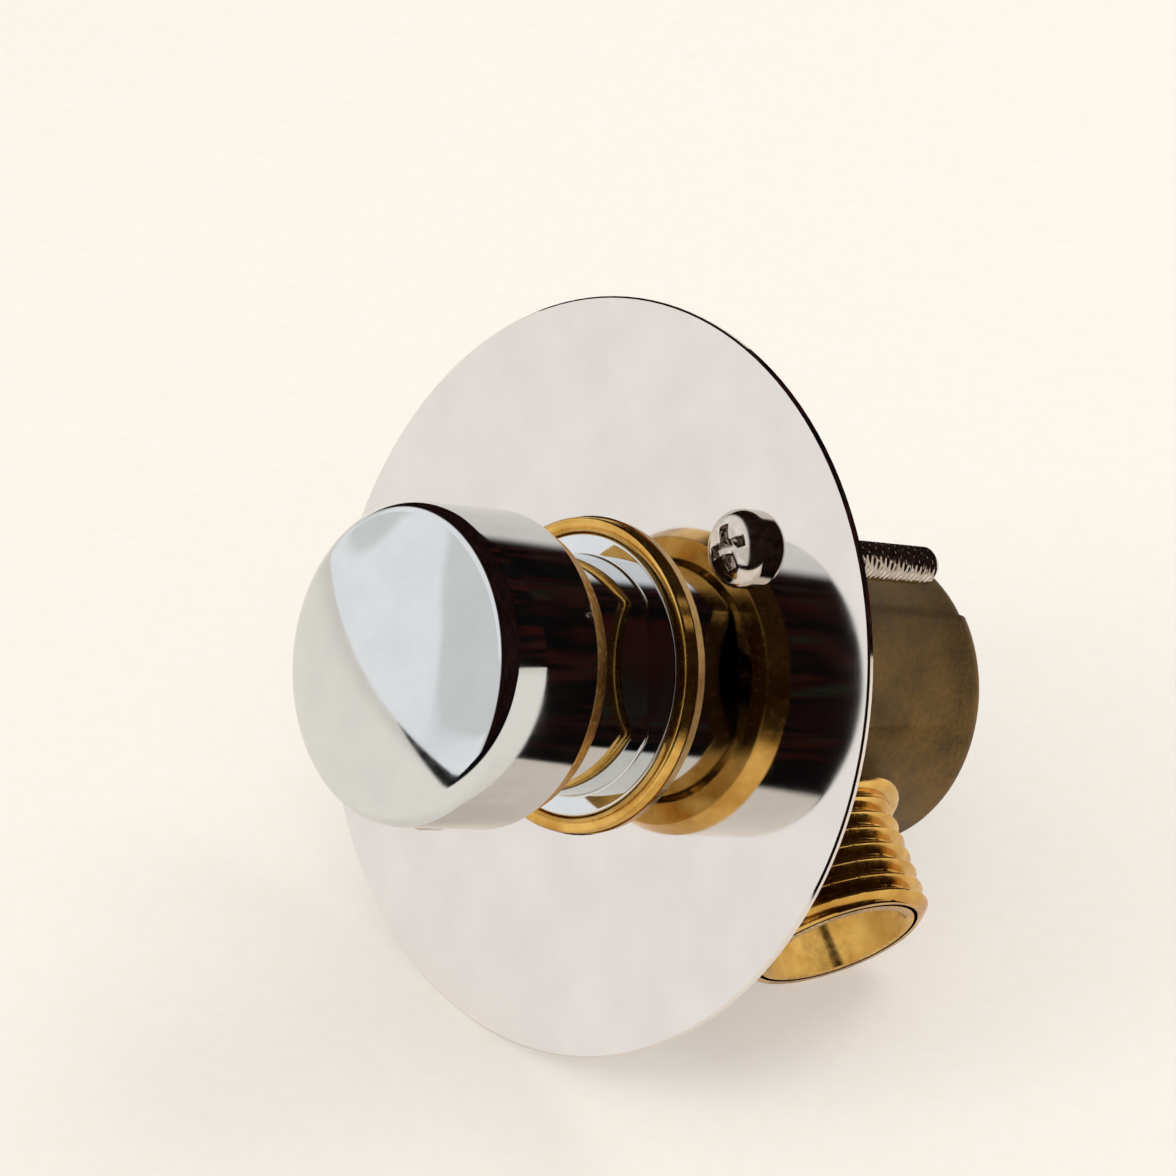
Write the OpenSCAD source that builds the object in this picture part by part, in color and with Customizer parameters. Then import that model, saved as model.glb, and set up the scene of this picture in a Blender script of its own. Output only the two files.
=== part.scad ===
// Concealed push-button tap: button and head in front of a round cover plate, cast valve body behind it.
// X is to the right, Y goes into the wall and Z is up. The origin is on the button's axis, on the wall face.

/* [Cover plate] */
// Outer diameter of the cover plate
plate_d = 79; // [66:1:110]
// Thickness of the cover plate
plate_t = 0.8; // [0.6:0.1:1.5]
// Small bevel round the edge of the plate
plate_edge = 0.2; // [0.1:0.05:0.25]
// Clearance between the plate's centre hole and the barrel rim
plate_hole_clearance = 0.2; // [0.1:0.1:1]

/* [Plate screws] */
// Distance between the two screws
screw_span = 52; // [50:0.5:58]
// Thread diameter of the screws
screw_d = 4; // [3:0.5:4.5]
// Length of the screws under the head
screw_len = 28; // [16:1:36]
// Diameter of the screw head
screw_head_d = 8; // [6:0.5:9]
// Height of the screw head
screw_head_h = 3.1; // [2:0.1:4]
// Height of the straight edge of the screw head
screw_head_edge = 0.9; // [0.4:0.1:1.2]
// Width of one arm of the cross recess
recess_w = 1.1; // [0.6:0.1:1.5]
// Span of the cross recess
recess_span = 4.6; // [3:0.1:5.5]
// Depth of the cross recess
recess_depth = 1.8; // [1:0.1:2]
// Radial clearance of the screws in the plate's holes
screw_hole_clearance = 0.2; // [0.1:0.05:0.5]
// Radial clearance of the screws in the tapped ears
screw_ear_clearance = 0.05; // [0.02:0.01:0.1]

/* [Barrel of the valve body] */
// Diameter of the turned rim that shows in front of the plate
rim_d = 32.8; // [32:0.2:36]
// How far the rim stands in front of the plate
rim_out = 1.4; // [0.5:0.1:3]
// Small bevel on the rim's outer and inner edges
rim_edge = 0.25; // [0.1:0.05:0.4]
// Length of the turned rim behind the wall face
rim_back = 4; // [2:0.5:4]
// Diameter of the cast barrel below the parting line
barrel_d = 33.4; // [33:0.2:38]
// Step at the parting line, where the casting's upper half is smaller
seam_step = 0.5; // [0.2:0.1:0.8]
// Depth of the barrel's closed back end behind the wall face
barrel_back = 45; // [45:0.5:60]
// Radius of the rounding at the back end
barrel_round = 3; // [1:0.5:4]
// Width of the small moulding ridge along the parting line
seam_w = 0.8; // [0.4:0.1:1.5]

/* [Screw ears] */
// Thickness of the ears and the collar that carries them
ear_t = 6; // [4:0.5:8]
// Radius of the rounded end of an ear
ear_r = 5; // [4:0.5:6]
// Half height of an ear where it leaves the barrel
ear_root = 11; // [8:0.5:14]
// Height of the collar round the barrel
collar_h = 1.2; // [0.6:0.1:2.5]

/* [Pipe stubs] */
// Depth of the stubs' common axis behind the wall face
stub_y = 23; // [22:0.5:26]
// Distance from the button's axis to a stub's mouth
stub_len = 31; // [28:0.5:45]
// Major diameter of the pipe thread
thread_d = 20.955; // [20.955]
// Length of the thread
thread_len = 12.5; // [9:0.5:12.5]
// Bevel at the start of the thread
thread_bevel = 0.6; // [0.3:0.1:1]
// Bore of the stubs
stub_bore_d = 15.4; // [12:0.2:16]
// Diameter of the cast boss between barrel and thread
boss_d = 23.6; // [22:0.2:28]
// Radius of the rounded shoulder of the boss
boss_round = 1; // [0.5:0.25:2]

/* [Waterways] */
// Diameter of the chamber that takes the cartridge
chamber_d = 24; // [24:0.2:24.6]
// Diameter of the rear chamber behind the seat
rear_d = 21; // [20:0.2:22]
// Depth of the shoulder that the cartridge rests on
shoulder_y = 20.5; // [20.5:0.1:21.5]
// Thickness of the closed back wall
back_wall = 3.5; // [3:0.1:4.5]
// Thickness of metal between a stub's bore and the chamber
stub_floor = 3; // [2:0.25:4]
// Diameter of the passage from the inlet to the rear chamber
inlet_passage_d = 8; // [6:0.2:9]
// Depth of the inlet passage's axis
inlet_passage_y = 26; // [26:0.2:27]
// Width of the cored window to the outlet
outlet_window_w = 12; // [8:0.5:14]

/* [Bonnet] */
// Diameter of the visible flange disc
flange_d = 29.4; // [29:0.1:30]
// Thickness of the flange disc
flange_t = 3; // [2.5:0.1:3]
// How far the flange lies behind the face of the rim
flange_recess = 0.2; // [0:0.1:0.6]
// Gap round the flange, inside the rim
flange_gap = 0.2; // [0.1:0.1:0.4]
// Diameter of the neck
neck_d = 25; // [23:0.2:25]
// Width across the neck's two wrench flats
neck_flats = 21.2; // [20:0.2:23]
// Turn of the wrench flats round the button's axis, in degrees
flat_turn = 26; // [0:1:90]
// How far the neck's front stands in front of the wall face
neck_front = 13; // [13:0.1:13.5]
// Rounding of the neck's front edge
neck_edge = 0.8; // [0.3:0.1:1.2]
// Diameter of the bonnet's thread
bonnet_thread_d = 26; // [25.4:0.2:26.6]
// Depth where the thread ends
bonnet_thread_end = 9; // [7:0.5:9]
// Depth where the bonnet's skirt ends
skirt_end = 12; // [12:0.1:12.4]
// Bore of the bonnet, in which the piston slides
piston_bore_d = 17; // [15:0.2:18]
// How far the front wall of the piston's bore stands in front of the wall face
piston_bore_front = 7; // [6.5:0.1:7.2]
// Thickness of the wall that holds the bleed pin
pin_wall = 1.6; // [1.2:0.1:1.8]
// Clearance of parts that are screwed or pushed together
fit_clearance = 0.05; // [0.03:0.01:0.08]

/* [Seals] */
// Section diameter of the bonnet's and the cartridge's O-rings
oring_d = 1.3; // [1:0.1:1.4]
// Section diameter of the stem's O-ring
stem_seal_d = 1.5; // [1.2:0.1:1.6]
// Extra width of an O-ring's groove
groove_slack = 0.3; // [0.1:0.05:0.4]
// Width of the piston's lip seal
lip_w = 2; // [1.5:0.1:2.2]
// Radial height of the piston's lip seal
lip_h = 2; // [1.5:0.1:2.2]

/* [Button] */
// Diameter of the button
button_d = 32.6; // [30:0.2:36]
// Diameter at the button's rear edge
button_rear_d = 30.5; // [29:0.1:32]
// Length of the rear bevel
button_bevel = 2.4; // [1:0.1:4]
// How far the rear edge stands in front of the cover plate
button_gap = 11.7; // [11.4:0.1:13]
// Length of the button from its rear edge to the start of the domed face
button_len = 15; // [14.5:0.1:18]
// Radius of the rounding between side and face
button_round = 1.8; // [1:0.1:3]
// Height of the domed face
button_dome = 1.7; // [1:0.1:3]
// Inner diameter of the button's skirt
button_bore_d = 25.8; // [25.8:0.2:27]
// Depth of the button's hollow
button_hollow = 10.8; // [10.5:0.1:11]
// Travel of the button
stroke = 7; // [4:0.5:7]

/* [Stem and nuts] */
// Diameter of the stem in the neck
stem_d = 8; // [7:0.2:8]
// Diameter of the stem behind the piston's shoulder
stem_mid_d = 6; // [5:0.2:6]
// Diameter of the thread that enters the button
stem_tip_d = 5.9; // [5:0.1:5.9]
// Length of the thread inside the button
stem_tip_len = 3.7; // [3:0.1:3.8]
// Diameter of the thread that carries the washer
stem_end_d = 5; // [4:0.2:5]
// Width across the flats of the jam nut
stem_nut_flats = 10; // [9:0.5:12]
// Thickness of the jam nut
stem_nut_t = 2.5; // [2:0.1:2.6]
// Width across the flats of the carrier nut
carrier_nut_flats = 8; // [7:0.5:9]
// Thickness of the carrier nut
carrier_nut_t = 2.7; // [2:0.1:3]
// Length of stem past the carrier nut
stem_tail = 0.9; // [0.5:0.1:1.5]
// Running clearance of the stem in the bush and its seal
run_clearance = 0.05; // [0.02:0.01:0.09]
// Diameter of the guide bush
bush_d = 12; // [11:0.2:13]

/* [Piston] */
// Length of the piston
piston_len = 5.2; // [4.5:0.1:5.5]
// Radial clearance of the piston in its bore
piston_clearance = 0.3; // [0.2:0.05:0.5]
// Gap in front of the piston at rest
piston_gap = 0.3; // [0.2:0.05:0.6]
// Thickness of the piston's clip
clip_t = 0.8; // [0.6:0.1:1]
// Outer diameter of the clip
clip_d = 8.4; // [7.6:0.2:8.6]
// Depth of the clip's groove in the stem
clip_groove = 0.45; // [0.3:0.05:0.6]
// Diameter of the bleed pin
pin_d = 0.9; // [0.6:0.1:1]
// Distance of the bleed pin from the axis
pin_at = 5.1; // [5:0.1:5.2]
// Length of the bleed pin
pin_len = 15.4; // [14:0.2:17]
// Radial clearance of the bleed pin in the piston
pin_clearance = 0.08; // [0.05:0.01:0.1]

/* [Cartridge, washer and spring] */
// Thickness of the cartridge's front ring
cage_ring = 1.5; // [1:0.1:1.8]
// Outer diameter of the cartridge's cage
cage_d = 19.2; // [18.4:0.2:20]
// Wall of the cage
cage_wall = 1.6; // [1.2:0.1:2]
// Thickness of the cartridge's seat disc
seat_t = 2.6; // [2.5:0.1:2.8]
// Width of the cage's windows
window_w = 8; // [6:0.5:9]
// Diameter of the seat's hole
seat_d = 10; // [9:0.2:10.6]
// Width of the raised seat
seat_lip = 1; // [0.6:0.1:1.4]
// Height of the raised seat
seat_h = 0.8; // [0.5:0.1:1.2]
// Gap between the raised seat and the washer at rest
seat_gap = 0.1; // [0.05:0.05:0.2]
// Diameter of the seat washer
washer_d = 14.8; // [14:0.2:15.4]
// Thickness of the seat washer
washer_t = 3; // [2:0.1:3.2]
// Diameter of the washer's carrier
carrier_d = 17.6; // [17:0.2:18.4]
// Thickness of the carrier behind the washer
carrier_t = 2.5; // [2:0.1:2.6]
// Depth of washer that the carrier's rim covers
carrier_rim = 1.8; // [1:0.1:2]
// Wire of the return spring
wire_d = 1.2; // [0.8:0.1:1.2]
// Mean diameter of the return spring
spring_d = 13.2; // [12.4:0.2:14]
// Turns of the return spring, with one closed turn at each end
spring_turns = 5; // [4:1:5]

/* [Hidden] */
$fn = 96;
overcut = 1;

// Places along Y, all measured from the wall face
plate_front = -plate_t;
rim_front = plate_front - rim_out;
flange_front = rim_front + flange_recess;
flange_seat = flange_front + flange_t;
ear_back = rim_back + ear_t;
rear_end = barrel_back - back_wall;
button_rear = plate_front - button_gap;
button_side_end = button_rear - button_len + button_round;
button_face = button_rear - button_len;
ceiling_y = button_rear - button_hollow;
stem_nut_rear = ceiling_y + stem_nut_t;
wall_front = -piston_bore_front - pin_wall;
seal_front = wall_front - stem_seal_d - groove_slack;
piston_front = -piston_bore_front + piston_gap;
piston_rear = piston_front + piston_len;
land_y = shoulder_y - seat_t;
seat_top = shoulder_y + seat_h;
washer_front = seat_top + seat_gap;
washer_rear = washer_front + washer_t;
carrier_rear = washer_rear + carrier_t;
stem_rear = carrier_rear + carrier_nut_t + stem_tail;
boss_top = stub_len - thread_len;

// Radii of pieces that meet
rim_bore_r = flange_d / 2 + flange_gap;
screw_x = screw_span / 2;
plate_hole_r = rim_d / 2 + plate_hole_clearance;
skirt_r = chamber_d / 2 - 2 * fit_clearance;
oring_groove_r = chamber_d / 2 - oring_d - 2 * fit_clearance;
oring_mid_r = chamber_d / 2 - fit_clearance - oring_d / 2;
stem_seal_r = stem_d / 2 + run_clearance + stem_seal_d / 2;
seal_pocket_r = stem_d / 2 + run_clearance + stem_seal_d + fit_clearance;
piston_r = piston_bore_d / 2 - piston_clearance;
lip_r = piston_bore_d / 2 - fit_clearance;
boss_reach = max(barrel_d / 2 + boss_round, boss_top);

// Points on an arc round (cx, cy), from angle a0 to angle a1
function arc(cx, cy, r, a0, a1, n) =
    [for (i = [0 : n]) let (a = a0 + (a1 - a0) * i / n) [cx + r * cos(a), cy + r * sin(a)]];

// A piece turned on the button's axis, from its outline as radius and depth
module turned(points) {
    rotate([-90, 0, 0])
        rotate_extrude()
            polygon(points);
}

// A plain disc, washer or tube on the button's axis
module ring(r_out, r_in, y0, y1) {
    turned([[r_in, y0], [r_out, y0], [r_out, y1], [r_in, y1]]);
}

// An O-ring on the button's axis
module oring(mid_r, section_d, y) {
    translate([0, y, 0])
        rotate([90, 0, 0])
            rotate_extrude()
                translate([mid_r, 0])
                    circle(d = section_d, $fn = 32);
}

// A hexagonal nut on the button's axis
module hex_nut(flats, thickness, hole_r, y) {
    translate([0, y, 0])
        rotate([-90, 0, 0])
            difference() {
                cylinder(d = flats / cos(30), h = thickness, $fn = 6);
                translate([0, 0, -overcut])
                    cylinder(r = hole_r, h = thickness + 2 * overcut);
            }
}

// Button: turned cup with a domed face, a rounded shoulder and a bevelled rear edge
module push_button() {
    edge_r = button_d / 2 - button_round;
    dome_r = (edge_r * edge_r + button_dome * button_dome) / (2 * button_dome);
    dome_a = asin(edge_r / dome_r);
    dome_y = button_face - button_dome + dome_r;
    color("gainsboro")
        turned(concat(
            [[button_bore_d / 2, button_rear], [button_rear_d / 2, button_rear]],
            [[button_d / 2, button_rear - button_bevel]],
            arc(edge_r, button_side_end, button_round, 0, -90, 8),
            [for (i = [1 : 11]) let (a = dome_a * (1 - i / 12)) [dome_r * sin(a), dome_y - dome_r * cos(a)]],
            [[0, dome_y - dome_r]],
            [[0, ceiling_y - stem_tip_len - 0.3]],
            [[stem_tip_d / 2 + fit_clearance, ceiling_y - stem_tip_len - 0.3]],
            [[stem_tip_d / 2 + fit_clearance, ceiling_y], [button_bore_d / 2, ceiling_y]]));
}

// Stem: one turned rod, threaded into the button at its front and stepped for piston and washer
module stem() {
    color("goldenrod")
        turned([[0, ceiling_y - stem_tip_len], [stem_tip_d / 2, ceiling_y - stem_tip_len],
            [stem_tip_d / 2, stem_nut_rear], [stem_d / 2, stem_nut_rear],
            [stem_d / 2, piston_front], [stem_mid_d / 2, piston_front],
            [stem_mid_d / 2, piston_rear], [stem_mid_d / 2 - clip_groove, piston_rear],
            [stem_mid_d / 2 - clip_groove, piston_rear + clip_t], [stem_mid_d / 2, piston_rear + clip_t],
            [stem_mid_d / 2, washer_rear], [stem_end_d / 2, washer_rear],
            [stem_end_d / 2, stem_rear], [0, stem_rear]]);
}

// Jam nut that locks the stem in the button
module stem_nut() {
    color("silver")
        hex_nut(stem_nut_flats, stem_nut_t, stem_tip_d / 2 + fit_clearance, ceiling_y);
}

// Bearing of the stem in the neck
module guide_bush() {
    color("whitesmoke")
        ring(bush_d / 2 - fit_clearance, stem_d / 2 + run_clearance, -neck_front, seal_front);
}

// O-ring that seals the stem behind the bush
module stem_seal() {
    color("black")
        oring(stem_seal_r, stem_seal_d, (seal_front + wall_front) / 2);
}

// Bonnet: flange disc, neck with two wrench flats, threaded skirt and the piston's bore, in one piece
module bonnet() {
    oring_y = bonnet_thread_end + (skirt_end - bonnet_thread_end) / 2;
    groove_w = oring_d + groove_slack;
    color("lightgray")
        difference() {
            union() {
                intersection() {
                    turned(concat([[0, flange_seat], [0, -neck_front]],
                        arc(neck_d / 2 - neck_edge, -neck_front + neck_edge, neck_edge, -90, 0, 6),
                        [[neck_d / 2, flange_seat]]));
                    rotate([0, flat_turn, 0])
                        translate([-neck_flats / 2, -neck_front - overcut, -neck_d])
                            cube([neck_flats, neck_front + flange_seat + overcut, 2 * neck_d]);
                }
                turned([[0, flange_front], [flange_d / 2 - rim_edge, flange_front],
                    [flange_d / 2, flange_front + rim_edge], [flange_d / 2, flange_seat],
                    [bonnet_thread_d / 2, flange_seat], [bonnet_thread_d / 2, bonnet_thread_end],
                    [skirt_r, bonnet_thread_end], [skirt_r, oring_y - groove_w / 2],
                    [oring_groove_r, oring_y - groove_w / 2], [oring_groove_r, oring_y + groove_w / 2],
                    [skirt_r, oring_y + groove_w / 2], [skirt_r, skirt_end], [0, skirt_end]]);
            }
            turned([[0, -piston_bore_front], [piston_bore_d / 2, -piston_bore_front],
                [piston_bore_d / 2, skirt_end + overcut], [0, skirt_end + overcut]]);
            turned([[0, -neck_front - overcut], [bush_d / 2, -neck_front - overcut],
                [bush_d / 2, seal_front], [seal_pocket_r, seal_front],
                [seal_pocket_r, wall_front], [stem_d / 2 + 5 * run_clearance, wall_front],
                [stem_d / 2 + 5 * run_clearance, overcut], [0, overcut]]);
            translate([0, wall_front + 0.2, pin_at])
                rotate([-90, 0, 0])
                    cylinder(d = pin_d + fit_clearance, h = pin_wall + overcut, $fn = 24);
        }
}

// O-ring between the bonnet's skirt and the valve body
module bonnet_oring() {
    color("black")
        oring(oring_mid_r, oring_d, (bonnet_thread_end + skirt_end) / 2);
}

// Timing piston with the groove of its lip seal and the hole of the bleed pin
module piston() {
    groove_y = piston_front + (piston_len - lip_w - groove_slack) / 2;
    groove_r = lip_r - lip_h - fit_clearance;
    color("ivory")
        difference() {
            turned([[stem_mid_d / 2 + fit_clearance, piston_front], [piston_r, piston_front],
                [piston_r, groove_y], [groove_r, groove_y],
                [groove_r, groove_y + lip_w + groove_slack], [piston_r, groove_y + lip_w + groove_slack],
                [piston_r, piston_rear], [stem_mid_d / 2 + fit_clearance, piston_rear]]);
            translate([0, piston_front - overcut, pin_at])
                rotate([-90, 0, 0])
                    cylinder(r = pin_d / 2 + pin_clearance, h = piston_len + 2 * overcut, $fn = 24);
        }
}

// Lip seal of the piston: a rubber cup with its open side to the front
module piston_seal() {
    y0 = piston_front + (piston_len - lip_w) / 2;
    inner_r = lip_r - lip_h;
    lip = lip_h / 4;
    color("dimgray")
        turned([[inner_r, y0], [inner_r + lip, y0], [inner_r + lip * 1.4, y0 + lip_w * 0.6],
            [lip_r - lip * 1.4, y0 + lip_w * 0.6], [lip_r - lip, y0], [lip_r, y0],
            [lip_r, y0 + lip_w * 0.4], [lip_r - lip / 3, y0 + lip_w], [inner_r, y0 + lip_w]]);
}

// Spring clip that holds the piston on the stem
module piston_clip() {
    inner_r = stem_mid_d / 2 - clip_groove + fit_clearance;
    color("silver")
        difference() {
            ring(clip_d / 2, inner_r, piston_rear, piston_rear + clip_t);
            translate([0, piston_rear - overcut, -clip_d])
                translate([-stem_mid_d / 2, 0, 0])
                    cube([stem_mid_d, clip_t + 2 * overcut, clip_d]);
        }
}

// Thin needle that sets how fast the chamber in front of the piston refills
module bleed_pin() {
    color("silver")
        translate([0, wall_front + 0.2, pin_at])
            rotate([-90, 0, 0])
                cylinder(d = pin_d, h = pin_len, $fn = 24);
}

// Cartridge: front ring, cage with four windows and seat disc with a raised seat, in one piece
module cartridge() {
    groove_w = oring_d + groove_slack;
    groove_y = land_y + (seat_t - groove_w) / 2;
    cage_r = cage_d / 2;
    color("ivory")
        difference() {
            turned([[cage_r - cage_wall, skirt_end], [skirt_r, skirt_end], [skirt_r, skirt_end + cage_ring],
                [cage_r, skirt_end + cage_ring], [cage_r, land_y], [skirt_r, land_y],
                [skirt_r, groove_y], [oring_groove_r, groove_y], [oring_groove_r, groove_y + groove_w],
                [skirt_r, groove_y + groove_w], [skirt_r, shoulder_y], [seat_d / 2 + seat_lip, shoulder_y],
                [seat_d / 2 + seat_lip, seat_top], [seat_d / 2, seat_top], [seat_d / 2, land_y],
                [cage_r - cage_wall, land_y]]);
            for (turn = [0, 90])
                rotate([0, turn, 0])
                    translate([-cage_d, skirt_end + cage_ring, -window_w / 2])
                        cube([2 * cage_d, land_y - skirt_end - cage_ring, window_w]);
        }
}

// O-ring between the inlet side and the outlet side
module cartridge_oring() {
    color("black")
        oring(oring_mid_r, oring_d, land_y + seat_t / 2);
}

// Rubber washer that closes on the raised seat
module seat_washer() {
    color("dimgray")
        ring(washer_d / 2, stem_mid_d / 2 + fit_clearance, washer_front, washer_rear);
}

// Cup behind the washer, which also carries the spring
module washer_carrier() {
    color("goldenrod")
        turned([[stem_end_d / 2 + fit_clearance, washer_rear], [washer_d / 2 + fit_clearance, washer_rear],
            [washer_d / 2 + fit_clearance, washer_rear - carrier_rim], [carrier_d / 2, washer_rear - carrier_rim],
            [carrier_d / 2, carrier_rear], [stem_end_d / 2 + fit_clearance, carrier_rear]]);
}

// Nut that clamps washer and carrier on the stem
module carrier_nut() {
    color("silver")
        hex_nut(carrier_nut_flats, carrier_nut_t, stem_end_d / 2 + fit_clearance, carrier_rear);
}

// Height of the wire's centre along the spring, from 0 to 1: closed end turns, open turns between
function spring_rise(t) = let (
    turns = t * spring_turns,
    open_turns = spring_turns - 2,
    open_part = max(0, min(open_turns, turns - 1)) / open_turns,
    closed = wire_d * 1.02 * (min(1, turns) + max(0, turns - spring_turns + 1)),
    reach = rear_end - carrier_rear - wire_d - 0.2)
    closed + open_part * (reach - 2 * 1.02 * wire_d);

// Return spring: a round wire wound on the button's axis, with closed ends
module return_spring() {
    steps = spring_turns * 28;
    sides = 8;
    r = spring_d / 2;
    path = [for (i = [0 : steps]) let (t = i / steps, a = 360 * spring_turns * t)
        [a, carrier_rear + 0.1 + wire_d / 2 + spring_rise(t)]];
    points = [for (p = path) for (s = [0 : sides - 1]) let (b = 360 * s / sides,
        rr = r + wire_d / 2 * cos(b)) [rr * cos(p[0]), p[1] + wire_d / 2 * sin(b), rr * sin(p[0])]];
    walls = [for (i = [0 : steps - 1]) for (s = [0 : sides - 1]) let (n = (s + 1) % sides)
        [i * sides + s, i * sides + n, (i + 1) * sides + n, (i + 1) * sides + s]];
    first = [[for (s = [0 : sides - 1]) sides - 1 - s]];
    last = [[for (s = [0 : sides - 1]) steps * sides + s]];
    color("silver")
        polyhedron(points, concat(first, walls, last), convexity = 10);
}

// One pipe stub, drawn upwards: cast boss with a rounded shoulder and the thread's plain core
module stub() {
    translate([0, stub_y, 0])
        rotate_extrude()
            polygon(concat([[0, 0], [boss_d / 2, 0]],
                arc(boss_d / 2 - boss_round, boss_top - boss_round, boss_round, 0, 90, 6),
                [[thread_d / 2, boss_top], [thread_d / 2, stub_len - thread_bevel],
                [thread_d / 2 - thread_bevel, stub_len], [0, stub_len]]));
}

// Bore of one stub, drawn upwards, down to its floor over the chamber
module stub_bore() {
    floor_z = chamber_d / 2 + stub_floor;
    translate([0, stub_y, floor_z])
        cylinder(d = stub_bore_d, h = stub_len - floor_z + overcut);
}

// Outline of the barrel's casting with radius r
module barrel(r) {
    turned(concat([[0, rim_back], [r, rim_back]],
        arc(r - barrel_round, barrel_back - barrel_round, barrel_round, 0, 90, 8),
        [[0, barrel_back]]));
}

// Ear for one plate screw, on the side given by its sign
module ear(side) {
    translate([0, rim_back, 0])
        rotate([-90, 0, 0])
            linear_extrude(height = ear_t)
                union() {
                    polygon([[0, -ear_root], [side * screw_x, -ear_r], [side * screw_x, ear_r], [0, ear_root]]);
                    translate([side * screw_x, 0])
                        circle(r = ear_r);
                }
}

// Valve body: one casting with barrel, rim, collar, ears and two stubs, bored from the front and the mouths
module valve_body() {
    upper_r = barrel_d / 2 - seam_step;
    color("darkgoldenrod")
        difference() {
            union() {
                turned([[0, rim_front], [rim_d / 2 - rim_edge, rim_front], [rim_d / 2, rim_front + rim_edge],
                    [rim_d / 2, rim_back], [0, rim_back]]);
                barrel(upper_r);
                intersection() {
                    barrel(barrel_d / 2);
                    translate([-barrel_d, 0, -2 * barrel_d])
                        cube([2 * barrel_d, barrel_back + overcut, 2 * barrel_d + seam_w / 2]);
                }
                turned([[0, rim_back], [barrel_d / 2 + collar_h, rim_back], [barrel_d / 2 + collar_h, ear_back],
                    [0, ear_back]]);
                for (side = [-1, 1])
                    ear(side);
                stub();
                mirror([0, 0, 1])
                    stub();
            }
            turned([[0, rim_front - overcut], [rim_bore_r + rim_edge + overcut, rim_front - overcut],
                [rim_bore_r, rim_front + rim_edge], [rim_bore_r, flange_seat],
                [bonnet_thread_d / 2 + fit_clearance, flange_seat],
                [bonnet_thread_d / 2 + fit_clearance, bonnet_thread_end + 0.5],
                [chamber_d / 2, bonnet_thread_end + 0.5], [chamber_d / 2, shoulder_y],
                [rear_d / 2, shoulder_y], [rear_d / 2, rear_end], [0, rear_end]]);
            stub_bore();
            mirror([0, 0, 1])
                stub_bore();
            translate([0, inlet_passage_y, -chamber_d / 2 - stub_floor - overcut])
                cylinder(d = inlet_passage_d, h = chamber_d / 2 + stub_floor);
            translate([-outlet_window_w / 2, skirt_end + cage_ring + 0.4, rear_d / 2 - 2])
                cube([outlet_window_w, land_y - skirt_end - cage_ring - 0.5, stub_floor + 4]);
            for (side = [-1, 1])
                translate([side * screw_x, rim_back - overcut, 0])
                    rotate([-90, 0, 0])
                        cylinder(r = screw_d / 2 + screw_ear_clearance, h = ear_t + 2 * overcut);
        }
}

// Cover plate: thin disc with its centre hole and two screw holes
module cover_plate() {
    color("whitesmoke")
        difference() {
            turned([[plate_hole_r, plate_front], [plate_d / 2 - plate_edge, plate_front],
                [plate_d / 2, plate_front + plate_edge], [plate_d / 2, -plate_edge],
                [plate_d / 2 - plate_edge, 0], [plate_hole_r, 0]]);
            for (side = [-1, 1])
                translate([side * screw_x, plate_front - overcut, 0])
                    rotate([-90, 0, 0])
                        cylinder(r = screw_d / 2 + screw_hole_clearance, h = plate_t + 2 * overcut);
        }
}

// One pan-head screw with a cross recess, on the button's axis and seated on the plate
module plate_screw() {
    head_r = screw_head_d / 2;
    crown = screw_head_h - screw_head_edge;
    difference() {
        turned(concat([[0, plate_front - screw_head_h]],
            [for (i = [1 : 8]) let (a = 90 * i / 8)
                [head_r * sin(a), plate_front - screw_head_edge - crown * cos(a)]],
            [[head_r, plate_front], [screw_d / 2, plate_front],
            [screw_d / 2, plate_front + screw_len - screw_d / 8],
            [screw_d / 2 - screw_d / 8, plate_front + screw_len], [0, plate_front + screw_len]]));
        for (turn = [0, 90])
            rotate([0, turn, 0])
                translate([-recess_span / 2, plate_front - screw_head_h - overcut, -recess_w / 2])
                    cube([recess_span, recess_depth + overcut, recess_w]);
    }
}

// The two plate screws
module plate_screws() {
    color("silver")
        for (side = [-1, 1])
            translate([side * screw_x, 0, 0])
                plate_screw();
}

push_button();
stem();
stem_nut();
guide_bush();
stem_seal();
bonnet();
bonnet_oring();
piston();
piston_seal();
piston_clip();
bleed_pin();
cartridge();
cartridge_oring();
seat_washer();
washer_carrier();
carrier_nut();
return_spring();
valve_body();
cover_plate();
plate_screws();
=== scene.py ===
import bmesh
import bpy
import numpy as np
from mathutils import Matrix, Vector


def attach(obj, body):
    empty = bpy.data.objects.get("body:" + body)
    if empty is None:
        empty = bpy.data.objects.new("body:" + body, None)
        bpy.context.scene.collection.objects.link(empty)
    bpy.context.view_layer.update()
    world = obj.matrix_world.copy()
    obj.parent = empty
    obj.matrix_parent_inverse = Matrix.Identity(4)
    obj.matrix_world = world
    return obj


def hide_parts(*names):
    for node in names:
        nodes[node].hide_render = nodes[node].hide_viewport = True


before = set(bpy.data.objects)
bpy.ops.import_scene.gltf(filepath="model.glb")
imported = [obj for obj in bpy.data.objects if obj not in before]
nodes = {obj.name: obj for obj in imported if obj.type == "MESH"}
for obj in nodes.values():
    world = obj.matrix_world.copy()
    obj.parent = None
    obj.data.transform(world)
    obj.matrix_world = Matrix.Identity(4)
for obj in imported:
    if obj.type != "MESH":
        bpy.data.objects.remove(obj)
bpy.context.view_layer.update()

# Valve body: one sand casting in brass. Only the rim in front, the bores and the pipe ends are
# turned bright afterwards; the barrel and the screw ears keep the grain of the mould.
mm = 0.001
cast_brass_tone = "8E6E3A"
cast_brass_dark = "55401F"
turned_brass_tone = "E8BC68"
turned_brass_dark = "B98432"
rim_r = 16.4
rim_back = 4.0
bore_r = 13.1
bore_end = 41.6
stub_y = 23.0
stub_len = 31.0
stub_bore_r = 7.7
thread_r = 10.4775
thread_core_r = 9.0
boss_top = 18.5
boss_r = 11.8


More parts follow.
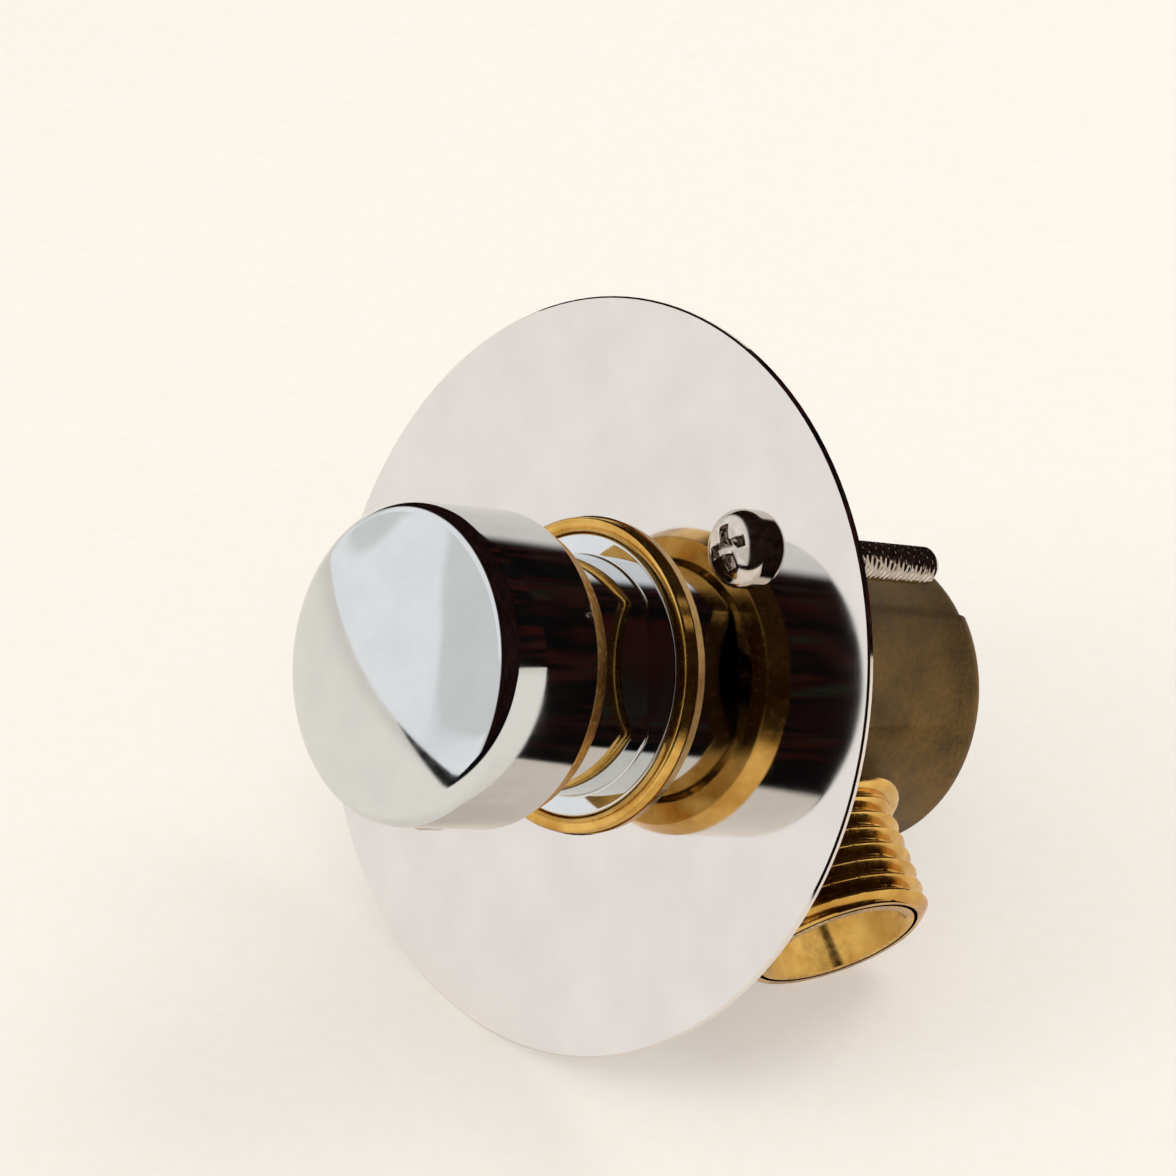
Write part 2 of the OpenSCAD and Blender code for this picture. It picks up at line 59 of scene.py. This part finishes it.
def linear(tone):
    """sRGB hex to linear RGBA: the lower end is a straight line, the rest a power of 2.4."""
    value = np.array([int(tone[i:i + 2], 16) for i in (0, 2, 4)]) / 255
    value = np.where(value <= 0.04045, value / 12.92, ((value + 0.055) / 1.055) ** 2.4)
    return (*value.tolist(), 1.0)


def node(tree, kind, inputs=None, out=0, ramp=None, **settings):
    """Adds one shader node. inputs are socket values or the sockets that feed them, settings are its
    properties, ramp is a list of places and colours. Returns the output socket that is asked for."""
    made = tree.nodes.new("ShaderNode" + kind)
    for key, value in settings.items():
        setattr(made, key, value)
    for key, value in (inputs or {}).items():
        if isinstance(value, bpy.types.NodeSocket):
            tree.links.new(value, made.inputs[key])
        else:
            made.inputs[key].default_value = value
    if ramp:
        points = made.color_ramp.elements
        while len(points) < len(ramp):
            points.new(1.0)
        for point, (place, colour) in zip(points, ramp):
            point.position = place
            point.color = colour
    return made.outputs[out] if made.outputs else made


def finish(name):
    """A material with nothing in it yet, its node tree, and the Object coordinates that patterns read."""
    made = bpy.data.materials.new(name)
    made.use_nodes = True
    tree = made.node_tree
    tree.nodes.clear()
    return made, tree, node(tree, "TexCoord", out="Object")


def surface(tree, shader):
    """Ends a material: the shader goes to its output."""
    node(tree, "OutputMaterial", {"Surface": shader})


# Cast brass: F0 of brass under a thin oxide, rough from the sand of the mould, grains about 0.4 mm.
cast_brass, tree, place = finish("cast_brass_sand_mould")
grain = node(tree, "TexNoise", {"Vector": place, "Scale": 1 / (0.55 * mm), "Detail": 3.0, "Roughness": 0.65})
patches = node(tree, "TexNoise", {"Vector": place, "Scale": 1 / (7 * mm), "Detail": 4.0, "Roughness": 0.6})
blend = node(tree, "Math", {0: grain, 1: patches}, operation="ADD")
tone = node(tree, "ValToRGB", {"Fac": node(tree, "Math", {0: blend, 1: 0.5}, operation="MULTIPLY")},
            ramp=[(0.36, linear(cast_brass_dark)), (0.62, linear(cast_brass_tone))])
rough = node(tree, "MapRange", {
    "Value": grain, "From Min": 0.3, "From Max": 0.7, "To Min": 0.5, "To Max": 0.68})
dents = node(tree, "Bump", {"Height": grain, "Strength": 0.55, "Distance": 0.12 * mm})
surface(tree, node(tree, "BsdfPrincipled", {
    "Base Color": tone, "Metallic": 0.85, "Roughness": rough, "Normal": dents}))

# Turned brass: bright, with fine rings that the lathe tool leaves about 0.15 mm apart.
turned_brass, tree, place = finish("turned_brass")
rings = node(tree, "TexNoise", {"Vector": place, "Scale": 1 / (0.9 * mm), "Detail": 4.0, "Roughness": 0.7})
film = node(tree, "TexNoise", {"Vector": place, "Scale": 1 / (5 * mm), "Detail": 3.0})
tone = node(tree, "ValToRGB", {"Fac": film},
            ramp=[(0.3, linear(turned_brass_dark)), (0.62, linear(turned_brass_tone))])
rough = node(tree, "MapRange", {
    "Value": rings, "From Min": 0.3, "From Max": 0.7, "To Min": 0.13, "To Max": 0.3})
dents = node(tree, "Bump", {"Height": rings, "Strength": 0.25, "Distance": 0.02 * mm})
surface(tree, node(tree, "BsdfPrincipled", {
    "Base Color": tone, "Metallic": 1.0, "Roughness": rough, "Normal": dents}))


def settle(piece, sharp, recalculate=True):
    """Merges what touches, turns faces outwards and leaves hard edges only above an angle in degrees."""
    work = bmesh.new()
    work.from_mesh(piece.data)
    bmesh.ops.remove_doubles(work, verts=work.verts, dist=1e-4 * mm)
    if recalculate:
        bmesh.ops.recalc_face_normals(work, faces=work.faces)
    work.to_mesh(piece.data)
    work.free()
    piece.data.shade_smooth()
    piece.data.set_sharp_from_angle(angle=np.radians(sharp))


def make(name, grids, body, replaced, finishes, sharp=35, pick=None):
    """Makes a piece from point grids (rows, columns, 3) in mm: four neighbours in a grid are one face.
    pick gives a finish number to every face from the faces' centres in mm."""
    points, quads, first = [], [], 0
    for grid in grids:
        rows, columns = grid.shape[:2]
        index = first + np.arange(rows * columns).reshape(rows, columns)
        corners = [index[:-1, :-1], index[1:, :-1], index[1:, 1:], index[:-1, 1:]]
        quads.append(np.stack(corners, -1).reshape(-1, 4))
        points.append(grid.reshape(-1, 3))
        first += rows * columns
    mesh = bpy.data.meshes.new(name)
    mesh.from_pydata((np.vstack(points) * mm).tolist(), [], np.vstack(quads).tolist())
    piece = bpy.data.objects.new(name, mesh)
    bpy.context.scene.collection.objects.link(piece)
    settle(piece, sharp)
    for each in finishes:
        mesh.materials.append(each)
    if pick:
        paint(mesh, pick)
    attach(piece, body)
    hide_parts(*replaced)


def paint(mesh, pick):
    """Gives every face its finish by where its centre is."""
    centres = np.empty(len(mesh.polygons) * 3)
    mesh.polygons.foreach_get("center", centres)
    mesh.polygons.foreach_set("material_index", pick(centres.reshape(-1, 3) / mm).astype(np.int32))


def machined(centre):
    """0 on the casting's skin, 1 where it was turned: rim, chamber, pipe ends and their bores."""
    x, y, z = centre.T
    from_axis = np.hypot(x, z)
    from_stub = np.hypot(x, y - stub_y)
    rim = (y < rim_back - 0.05) & (from_axis < rim_r + 0.1)
    chamber = (from_axis < bore_r) & (y < bore_end)
    pipe_end = (np.abs(z) > boss_top - 1.5) & (from_stub < boss_r + 0.1)
    return rim | chamber | pipe_end


def slim_stubs(co):
    """Points of the stubs' plain cores go in to the root of the thread: radius r becomes the core's."""
    x, y, z = co.T
    r = np.hypot(x, y - stub_y)
    core = (np.abs(z) > boss_top - 0.01) & (r > stub_bore_r + 0.5) & (r < thread_r + 0.01)
    scale = np.where(core, np.minimum(1.0, thread_core_r / np.maximum(r, 1e-9)), 1.0)
    return np.stack([x * scale, stub_y + (y - stub_y) * scale, z], -1)


casting = bpy.data.objects.new("valve_casting", nodes["valve_body"].data.copy())
bpy.context.scene.collection.objects.link(casting)
co = np.empty(len(casting.data.vertices) * 3)
casting.data.vertices.foreach_get("co", co)
casting.data.vertices.foreach_set("co", (slim_stubs(co.reshape(-1, 3) / mm) * mm).ravel())
settle(casting, 32, recalculate=False)
casting.data.materials.clear()
casting.data.materials.append(cast_brass)
casting.data.materials.append(turned_brass)
paint(casting.data, machined)
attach(casting, "valve")
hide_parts("valve_body")

# Pipe ends: a G 1/2 thread is cut on each stub, 14 turns to the inch with a 55 degree flank. The
# mouth is faced flat and bevelled, and the first turns are rubbed bright.
pipe_pitch = 25.4 / 14
pipe_depth = 1.16
pipe_bevel = 0.9
pipe_rows = 150
sleeve_lap = 0.3
sleeve_sunk = 0.4
run_out_start = 0.2
run_out_len = 1.2
around = 192
turn = np.linspace(0, 2 * np.pi, around + 1)


def cut(place_along, pitch, depth, hand):
    """Depth of a thread at a place along its axis (rows) and an angle (columns): a V wave of
    place / pitch - hand * angle / 2 pi, with its crest and root cut flat."""
    phase = place_along[:, None] / pitch - hand * turn[None, :] / (2 * np.pi)
    wave = np.abs(2 * (phase - np.floor(phase)) - 1)
    return depth * np.clip((wave - 0.1) / 0.8, 0, 1)


def pipe_thread(side):
    """Sleeve on a stub: outside r = major - cut, faded out at the boss and bevelled at the mouth,
    inside a plain bore that the casting's core fills."""
    s = np.linspace(boss_top - sleeve_lap, stub_len, pipe_rows)
    r = thread_r - cut(side * s, pipe_pitch, pipe_depth, side)
    run_out = np.clip((s - boss_top - run_out_start) / run_out_len, 0, 1)[:, None]
    r = thread_r - (thread_r - r) * run_out
    bevel = pipe_bevel * np.clip((s - stub_len + pipe_bevel) / pipe_bevel, 0, 1)
    r = np.minimum(r, (thread_r - bevel)[:, None])
    inner = np.full((1, around + 1), thread_core_r - sleeve_sunk)
    r = np.vstack([inner, r, inner, inner])
    s = np.concatenate([[s[0]], s, [s[-1]], [s[0]]])
    z = np.repeat(side * s[:, None], around + 1, 1)
    return np.stack([r * np.cos(turn), stub_y + r * np.sin(turn), z], -1)


for name, side in (("inlet_thread", -1), ("outlet_thread", 1)):
    make(name, [pipe_thread(side)], "valve", ["valve_body"], [turned_brass], sharp=50)

# Cartridge: a moulded cage with its seat, dropped into the chamber from the front, in acetal.
# Only an open bonnet shows it. Acetal is dense and slightly waxy, with faint flow marks.
acetal, tree, place = finish("acetal_moulded")
flow = node(tree, "TexNoise", {"Vector": place, "Scale": 1 / (3 * mm), "Detail": 2.0})
tone = node(tree, "ValToRGB", {"Fac": flow}, ramp=[(0.35, linear("E4E0D4")), (0.65, linear("EFECE2"))])
rough = node(tree, "MapRange", {"Value": flow, "To Min": 0.32, "To Max": 0.45})
surface(tree, node(tree, "BsdfPrincipled", {
    "Base Color": tone, "Roughness": rough, "IOR": 1.48, "Normal": node(tree, "Bump", {
        "Height": flow, "Strength": 0.1, "Distance": 0.05 * mm})}))


def dress(names, made):
    """A CAD node whose shape is right keeps its mesh and gets its finish."""
    for name in names:
        nodes[name].data.materials.clear()
        nodes[name].data.materials.append(made)


dress(["cartridge", "piston", "guide_bush"], acetal)

# Seals: O-rings, the piston's lip seal and the seat washer, pressed from nitrile rubber. Matt black
# with a bloom of grey, as rubber that has been greased.
nitrile, tree, place = finish("nitrile_rubber")
bloom = node(tree, "TexNoise", {"Vector": place, "Scale": 1 / (1.2 * mm), "Detail": 3.0})
tone = node(tree, "ValToRGB", {"Fac": bloom}, ramp=[(0.35, linear("17171A")), (0.7, linear("2A2A2C"))])
surface(tree, node(tree, "BsdfPrincipled", {
    "Base Color": tone, "Roughness": 0.55, "IOR": 1.52, "Normal": node(tree, "Bump", {
        "Height": bloom, "Strength": 0.15, "Distance": 0.04 * mm})}))
dress(["bonnet_oring", "cartridge_oring", "stem_seal", "piston_seal", "seat_washer"], nitrile)

# Stem and washer carrier: turned from brass bar. They keep the CAD shape.
dress(["stem", "washer_carrier"], turned_brass)

# Nuts, clip, bleed pin: bright steel, plain from the bar or strip.
bright_steel, tree, place = finish("bright_steel")
drawn = node(tree, "TexNoise", {"Vector": node(tree, "Mapping", {
    "Vector": place, "Scale": (1.0, 0.1, 1.0)}), "Scale": 1 / (0.25 * mm), "Detail": 2.0})
tone = node(tree, "ValToRGB", {"Fac": drawn}, ramp=[(0.3, linear("A9A6A2")), (0.7, linear("C6C3BE"))])
rough = node(tree, "MapRange", {"Value": drawn, "To Min": 0.22, "To Max": 0.36})
surface(tree, node(tree, "BsdfPrincipled", {"Base Color": tone, "Metallic": 1.0, "Roughness": rough}))
dress(["stem_nut", "carrier_nut", "piston_clip", "bleed_pin"], bright_steel)

# Return spring: round wire in five turns, both end turns closed. It presses the washer's carrier
# and the button forward.
spring_wire_r = 0.6
spring_r = 6.6
spring_turns = 5
spring_front = 27.1
spring_back = 41.4
t = np.linspace(0, 1, 360)
wind = 2 * np.pi * spring_turns * t
closed = 2 * spring_wire_r * 1.02
rise = closed * (np.minimum(1, t * spring_turns) + np.maximum(0, t * spring_turns - spring_turns + 1))
rise = rise + np.clip(t * spring_turns - 1, 0, spring_turns - 2) / (spring_turns - 2) * (
    spring_back - spring_front - 2 * spring_wire_r - 2 * closed)
ring = np.linspace(0, 2 * np.pi, 17)
out = spring_r + spring_wire_r * np.cos(ring)[None, :]
wire = np.stack([out * np.cos(wind)[:, None],
                 (spring_front + spring_wire_r + rise)[:, None] + spring_wire_r * np.sin(ring)[None, :],
                 out * np.sin(wind)[:, None]], -1)
wire = np.concatenate([wire[:1].mean(1, keepdims=True).repeat(17, 1), wire,
                       wire[-1:].mean(1, keepdims=True).repeat(17, 1)])
make("return_spring_wire", [wire], "valve", ["return_spring"], [bright_steel])

# Bonnet: turned from brass, milled flat on two sides of the neck for a wrench, then polished and
# chromed. It screws into the barrel and carries the stem's bearing.
chrome_tone = "DCDEDF"
bush_bore_r = 6.0
neck_r = 12.5
neck_half_flats = 10.6
flat_turn = np.radians(26)
neck_front = -13.0
flange_front = -2.0
flange_seat = 1.0
flange_r = 14.7
skirt_r = 13.0
skirt_thread_end = 9.0
skirt_nose_r = 11.9
skirt_end = 12.0
piston_bore_r = 8.5
piston_bore_front = -7.0
stem_guide_r = 4.25
seal_groove_r = 5.6
seal_groove_back = -8.6
seal_groove_front = -10.4


def eased(corners, steps=7, hold=0.03):
    """Outline through corners (radius, depth, rounding). A rounding is an arc that touches both sides:
    the centre plus the two touching radii, mixed by sines of the share of the angle. Points just
    outside each arc hold the straight parts flat."""
    corners = np.asarray(corners, float)
    points = [corners[0, :2]]
    for before, here, after in zip(corners[:-2], corners[1:-1], corners[2:]):
        if here[2] == 0:
            points.append(here[:2])
            continue
        a = (before[:2] - here[:2]) / np.linalg.norm(before[:2] - here[:2])
        b = (after[:2] - here[:2]) / np.linalg.norm(after[:2] - here[:2])
        half = np.arccos(np.clip(a @ b, -1, 1)) / 2
        reach = here[2] / np.tan(half)
        middle = here[:2] + (a + b) / np.linalg.norm(a + b) * here[2] / np.sin(half)
        first, last = here[:2] + a * reach - middle, here[:2] + b * reach - middle
        sweep = np.pi - 2 * half
        share = np.linspace(0, 1, steps)[:, None]
        arc = middle + (np.sin((1 - share) * sweep) * first + np.sin(share * sweep) * last) / np.sin(sweep)
        points += [here[:2] + a * (reach + hold), *arc, here[:2] + b * (reach + hold)]
    points.append(corners[-1, :2])
    return np.array(points)


def turned(outline, segments=256):
    """Surface of revolution on the button's axis: (r cos a, y, r sin a)."""
    angle = np.linspace(0, 2 * np.pi, segments + 1)
    r = outline[:, :1]
    y = np.repeat(outline[:, 1:], segments + 1, 1)
    return np.stack([r * np.cos(angle), y, r * np.sin(angle)], -1)


def milled(grid):
    """Two flats across the neck: r = (r^-k + limit^-k)^(-1/k), where limit is half the flats over the
    cosine of the angle from their normal. The power k leaves a polished edge about 0.3 mm round."""
    x, y, z = np.moveaxis(grid, -1, 0)
    r = np.hypot(x, z)
    angle = np.arctan2(z, x)
    limit = neck_half_flats / np.maximum(np.abs(np.cos(angle + flat_turn)), 1e-3)
    power = 60
    flat_r = (np.maximum(r, 1e-6) ** -power + limit ** -power) ** (-1 / power)
    r = np.where(y < flange_front - 1e-6, np.minimum(r, flat_r), r)
    return np.stack([r * np.cos(angle), y, r * np.sin(angle)], -1)


outer = eased([(bush_bore_r, neck_front, 0), (neck_r, neck_front, 1.0), (neck_r, flange_front, 0.25),
               (flange_r, flange_front, 0.3), (flange_r, flange_seat, 0)])
inner = np.array([(skirt_r, flange_seat), (skirt_r, skirt_thread_end), (skirt_nose_r, skirt_thread_end),
                  (skirt_nose_r, skirt_end), (piston_bore_r, skirt_end), (piston_bore_r, piston_bore_front),
                  (stem_guide_r, piston_bore_front), (stem_guide_r, seal_groove_back),
                  (seal_groove_r, seal_groove_back), (seal_groove_r, seal_groove_front),
                  (bush_bore_r, seal_groove_front), (bush_bore_r, neck_front)])

# Chrome: chromium over bright nickel, F0 about 0.6, nearly a mirror, with hair scratches from wiping
# and a haze of dried water.
chrome, tree, place = finish("chrome_plated_brass")
haze = node(tree, "TexNoise", {"Vector": place, "Scale": 1 / (6 * mm), "Detail": 4.0, "Roughness": 0.6})
tone = node(tree, "ValToRGB", {"Fac": haze}, ramp=[(0.3, linear("D3D6D8")), (0.7, linear(chrome_tone))])
rough = node(tree, "MapRange", {
    "Value": haze, "From Min": 0.35, "From Max": 0.75, "To Min": 0.03, "To Max": 0.09})
hair = node(tree, "TexNoise", {"Vector": place, "Scale": 1 / (1.6 * mm), "Detail": 2.0})
surface(tree, node(tree, "BsdfPrincipled", {
    "Base Color": tone, "Metallic": 1.0, "Roughness": rough,
    "Normal": node(tree, "Bump", {"Height": hair, "Strength": 0.06, "Distance": 0.01 * mm})}))
bonnet_outline = np.vstack([outer, inner[1:]])
make("bonnet_chromed", [milled(turned(bonnet_outline))], "valve", ["bonnet"],
     [chrome], sharp=40)

# Cover plate: a disc stamped from stainless sheet, polished on the front and slightly bowed by the
# press.
polished_steel, tree, place = finish("stainless_polished")
haze = node(tree, "TexNoise", {"Vector": place, "Scale": 1 / (9 * mm), "Detail": 4.0, "Roughness": 0.55})
tone = node(tree, "ValToRGB", {"Fac": haze}, ramp=[(0.3, linear("DDD6D0")), (0.7, linear("E4DED8"))])
rough = node(tree, "MapRange", {
    "Value": haze, "From Min": 0.3, "From Max": 0.7, "To Min": 0.03, "To Max": 0.07})
press = node(tree, "TexNoise", {"Vector": place, "Scale": 1 / (30 * mm), "Detail": 0.0})
surface(tree, node(tree, "BsdfPrincipled", {
    "Base Color": tone, "Metallic": 1.0, "Roughness": rough,
    "Normal": node(tree, "Bump", {"Height": press, "Strength": 0.1, "Distance": 0.2 * mm})}))
dress(["cover_plate"], polished_steel)

# Plate screws: two M4 pan heads with a cross recess, nickel plated, 28 mm long. They pass the plate
# and screw into the ears, and most of the thread stands out behind.
nickel_tone = "DAD2CA"
screw_x = 26.0
screw_seat = -0.8
head_r = 4.0
head_h = 3.1
head_edge = 0.9
shank_r = 2.0
shank_len = 28.0
screw_pitch = 0.7
screw_depth = 0.38
recess_half_w = 0.6
recess_half = 2.3
recess_deep = 1.8
recess_wall = 0.22
recess_taper = 0.55
tip_len = 0.7
tip_r = 1.35
recess_turn = np.radians(12)


def screw_head():
    """Head over a polar grid: the crown is a quarter ellipse in (r, height), less the cross recess,
    whose depth grows from its walls inwards and fades towards the arms' ends."""
    angle = np.linspace(0, 2 * np.pi, 193)
    s = np.concatenate([np.linspace(0, 0.72, 44), np.linspace(0.72, 1, 16)[1:]])[:, None]
    r = head_r * np.sin(s * np.pi / 2) + 0 * angle
    height = head_edge + (head_h - head_edge) * np.cos(s * np.pi / 2) + 0 * angle
    u, v = r * np.cos(angle + recess_turn), r * np.sin(angle + recess_turn)
    arm_u = np.minimum(recess_half_w - np.abs(v), recess_half - np.abs(u))
    arm_v = np.minimum(recess_half_w - np.abs(u), recess_half - np.abs(v))
    inside = np.clip(np.maximum(arm_u, arm_v) / recess_wall, 0, 1)
    height = height - inside * recess_deep * (1 - recess_taper * r / recess_half)
    under = np.array([[head_r, 0.0], [shank_r, 0.0]])
    r = np.vstack([r, under[:, :1] + 0 * angle[None, :]])
    height = np.vstack([height, under[:, 1:] + 0 * angle[None, :]])
    return r, height, angle


def screw_shank():
    """Threaded shank: r = major - cut along its length, closed by a short cone."""
    s = np.linspace(0, shank_len - tip_len, 340)
    r = shank_r - cut(s, screw_pitch, screw_depth, -1)[:, ::4]
    tip = np.array([tip_r, 0.0])[:, None] + 0 * r[:2]
    return np.vstack([r, tip]), np.concatenate([s, [shank_len, shank_len]]), turn[::4]


screw_grids = []
for side in (-1, 1):
    r, height, angle = screw_head()
    x = side * screw_x + r * np.cos(angle)
    screw_grids.append(np.stack([x, screw_seat - height, r * np.sin(angle)], -1))
    r, s, angle = screw_shank()
    x = side * screw_x + r * np.cos(angle)
    screw_grids.append(np.stack([x, screw_seat + s[:, None] + 0 * r, r * np.sin(angle)], -1))

nickel, tree, place = finish("nickel_plated_steel")
dull = node(tree, "TexNoise", {"Vector": place, "Scale": 1 / (0.8 * mm), "Detail": 3.0})
tone = node(tree, "ValToRGB", {"Fac": dull}, ramp=[(0.3, linear("C9BFB5")), (0.7, linear(nickel_tone))])
rough = node(tree, "MapRange", {
    "Value": dull, "From Min": 0.3, "From Max": 0.7, "To Min": 0.06, "To Max": 0.16})
surface(tree, node(tree, "BsdfPrincipled", {"Base Color": tone, "Metallic": 1.0, "Roughness": rough}))
make("plate_screws_threaded", screw_grids, "valve", ["plate_screws"], [nickel], sharp=48)

# Button: turned from brass bar as a cup, polished and chromed. The inside is bare brass. The chromed bevel
# at its rear edge is coloured brass too, as a painted reflection of the valve's brass rim, which it mirrors.
button_r = 16.3
button_rear_r = 15.25
button_rear = -12.5
bevel_front = -14.9
button_front = -29.2
shoulder_r = 1.8
dome_r = 62.7
skirt_bore_r = 12.9
ceiling = -23.3
stem_hole_r = 3.0
stem_hole_end = -27.2
crown_deep = 1.9
plating_lap = 0.3


def button_outline():
    """Dome about a centre on the axis, a shoulder arc that touches dome and side, then side, bevel,
    rear edge and bore down to the stem's hole."""
    dome_y = button_front + dome_r
    lean = np.arcsin((button_r - shoulder_r) / (dome_r - shoulder_r))
    arc_y = dome_y - (dome_r - shoulder_r) * np.cos(lean)
    a = np.linspace(0, lean, 28)[:, None]
    crown = np.hstack([dome_r * np.sin(a), dome_y - dome_r * np.cos(a)])
    a = np.linspace(lean, np.pi / 2, 16)[1:, None]
    arc = np.hstack([button_r - shoulder_r + shoulder_r * np.sin(a), arc_y - shoulder_r * np.cos(a)])
    rest = eased([(button_r, arc_y, 0), (button_r, bevel_front, 0.12), (button_rear_r, button_rear, 0.15),
                  (skirt_bore_r, button_rear, 0.2), (skirt_bore_r, ceiling, 0.4), (stem_hole_r, ceiling, 0),
                  (stem_hole_r, stem_hole_end, 0), (0.0, stem_hole_end, 0)])
    return np.vstack([crown, arc, rest[1:]])


def brass_inside_and_painted_reflection(centre):
    """0 where the button is plated, 1 inside (bare brass) and on the rear bevel (brass as a painted
    reflection of the rim).
    """
    x, y, z = centre.T
    inside = (np.hypot(x, z) < skirt_bore_r + plating_lap) & (y > button_front + crown_deep)
    # The rear bevel gets brass as a painted reflection of the brass rim; the real bevel is chrome.
    return (y > bevel_front - 0.02) | inside


make("button_chromed", [turned(button_outline())], "button", ["push_button"],
     [chrome, turned_brass], sharp=30, pick=brass_inside_and_painted_reflection)

# Studio: the tap lies on white paper, on the plate's rim, the pipe end and the barrel's rear edge.
# The room above and towards the camera is dark, which polished metal shows.
camera_place = (271.45, -316.99, -167.77)
camera_right = np.array([0.631454, 0.708083, -0.316045])
camera_up = np.array([0.498946, -0.059037, 0.864620])
camera_back = np.array([0.593564, -0.703657, -0.390574])
camera_lens = 132.528
floor_up = np.array([0.7277, -0.4706, 0.4990])
floor_low = 34.9
floor_r = 3000
paper_tone = "FFFAF3"
floor_up = floor_up / np.linalg.norm(floor_up)
across = camera_right - floor_up * (camera_right @ floor_up)
across = across / np.linalg.norm(across)
toward = np.cross(across, floor_up)

camera = bpy.data.objects.new("camera", bpy.data.cameras.new("camera"))
bpy.context.scene.collection.objects.link(camera)
turned_to = np.eye(4)
turned_to[:3, 0], turned_to[:3, 1], turned_to[:3, 2] = camera_right, camera_up, camera_back
turned_to[:3, 3] = np.array(camera_place) * mm
camera.matrix_world = Matrix(turned_to.tolist())
camera.data.sensor_width = 36
camera.data.lens = camera_lens
camera.data.clip_start = 0.01
camera.data.clip_end = 20
bpy.context.scene.camera = camera

# Paper: seen from above it is white with the tap's soft shadow, from below it isn't there. Polished
# metal sees it end about 0.2 m in front of the tap, where the dark room begins.
paper_front = 190 * mm
paper_fade = 60 * mm
paper_glow = 0.45
paper, tree, place = finish("studio_paper")


def along(tree, vector, direction):
    """How far a vector reaches along a direction."""
    settings = {0: vector, 1: tuple(map(float, direction))}
    return node(tree, "VectorMath", settings, out="Value", operation="DOT_PRODUCT")


def fade(tree, value, start, end):
    """0 before start, 1 after end, smooth between."""
    settings = {"Value": value, "From Min": start, "From Max": end}
    return node(tree, "MapRange", settings, interpolation_type="SMOOTHSTEP")


rays = tree.nodes.new("ShaderNodeLightPath")
fibre = node(tree, "TexNoise", {"Vector": place, "Scale": 1 / (2 * mm), "Detail": 2.0})
tone = node(tree, "ValToRGB", {"Fac": fibre}, ramp=[(0.0, linear("FBF5EC")), (1.0, linear("FFFAF2"))])
glossy_ray = rays.outputs["Is Glossy Ray"]
seen = node(tree, "Math", {0: rays.outputs["Is Camera Ray"], 1: glossy_ray}, operation="MAXIMUM")
seen = node(tree, "Math", {0: seen, 1: rays.outputs["Is Transmission Ray"]}, operation="MAXIMUM")
glow = node(tree, "Emission", {"Color": tone, "Strength": 1.0})
lit = node(tree, "BsdfDiffuse", {"Color": tone})
shown = node(tree, "Math", {0: seen, 1: paper_glow}, operation="MULTIPLY")
blend = node(tree, "MixShader", {0: shown, 1: lit, 2: glow})
ends = fade(tree, along(tree, place, toward), paper_front, paper_front + paper_fade)
ends = node(tree, "Math", {0: ends, 1: glossy_ray}, operation="MULTIPLY")
night = node(tree, "Emission", {"Color": linear("0C0B0B"), "Strength": 1.0})
blend = node(tree, "MixShader", {0: ends, 1: blend, 2: night})
under = node(tree, "NewGeometry", out="Backfacing")
surface(tree, node(tree, "MixShader", {0: under, 1: blend, 2: node(tree, "BsdfTransparent")}))
corner = np.array([(-1, -1), (1, -1), (1, 1), (-1, 1)]) * floor_r
sheet = corner[:, :1] * across + corner[:, 1:] * np.cross(floor_up, across) - floor_up * floor_low
mesh = bpy.data.meshes.new("paper")
mesh.from_pydata((sheet * mm).tolist(), [], [(0, 1, 2, 3)])
mesh.materials.append(paper)
floor = bpy.data.objects.new("paper", mesh)
bpy.context.scene.collection.objects.link(floor)

# Room: white to the left of the tap, dark above and towards the camera for polished metal, plain
# soft light for everything else.
world = bpy.data.worlds.new("studio")
bpy.context.scene.world = world
world.use_nodes = True
tree = world.node_tree
tree.nodes.clear()
look = node(tree, "TexCoord", out="Generated")
rays = tree.nodes.new("ShaderNodeLightPath")
side = along(tree, look, across)
room = fade(tree, side, -0.6, -0.48)
stretched = node(tree, "Mapping", {"Vector": look, "Scale": (6.0, 6.0, 1.5)})
streaks = node(tree, "TexNoise", {"Vector": stretched, "Scale": 3.0, "Detail": 3.0, "Roughness": 0.7})
dark = node(tree, "ValToRGB", {"Fac": streaks}, ramp=[
    (0.0, linear("050505")), (0.5, linear("0A0A0A")), (0.56, linear("3A1512")), (0.6, linear("0C0C0B")),
    (0.66, linear("2A3228")), (0.72, linear("0A0A0A"))])
cloud = node(tree, "TexNoise", {"Vector": look, "Scale": 2.4, "Detail": 0.0})
pale = node(tree, "ValToRGB", {"Fac": cloud}, ramp=[(0.45, linear("E6E6E4")), (0.5, linear("FFFFFF"))])
mixed = tree.nodes.new("ShaderNodeMix")
mixed.data_type = "RGBA"
tree.links.new(room, mixed.inputs[0])
tree.links.new(pale, mixed.inputs[6])
tree.links.new(dark, mixed.inputs[7])
shine = node(tree, "Background", {"Color": mixed.outputs[2], "Strength": 1.0})
plain = node(tree, "Background", {"Color": linear("FFFBF5"), "Strength": 0.7})
white = node(tree, "Background", {"Color": linear(paper_tone), "Strength": 1.0})
blend = node(tree, "MixShader", {0: rays.outputs["Is Glossy Ray"], 1: plain, 2: shine})
blend = node(tree, "MixShader", {0: rays.outputs["Is Camera Ray"], 1: blend, 2: white})
node(tree, "OutputWorld", {"Surface": blend})


def lamp(name, place, size, power):
    """Square soft light: place is across, toward the camera and up from the tap, in mm. It faces the tap."""
    light = bpy.data.lights.new(name, "AREA")
    light.size = size * mm
    light.energy = power
    made = bpy.data.objects.new(name, light)
    bpy.context.scene.collection.objects.link(made)
    spot = (across * place[0] + toward * place[1] + floor_up * place[2]) * mm
    made.location = spot
    made.rotation_mode = "QUATERNION"
    made.rotation_quaternion = Vector((-spot).tolist()).to_track_quat("-Z", "Y")
    made.visible_glossy = False
    made.visible_camera = False


lamp("soft_right", (500, -250, 700), 400, 2.2)
lamp("soft_left", (-600, 300, 600), 400, 1.6)

bpy.context.scene.view_settings.view_transform = "Standard"
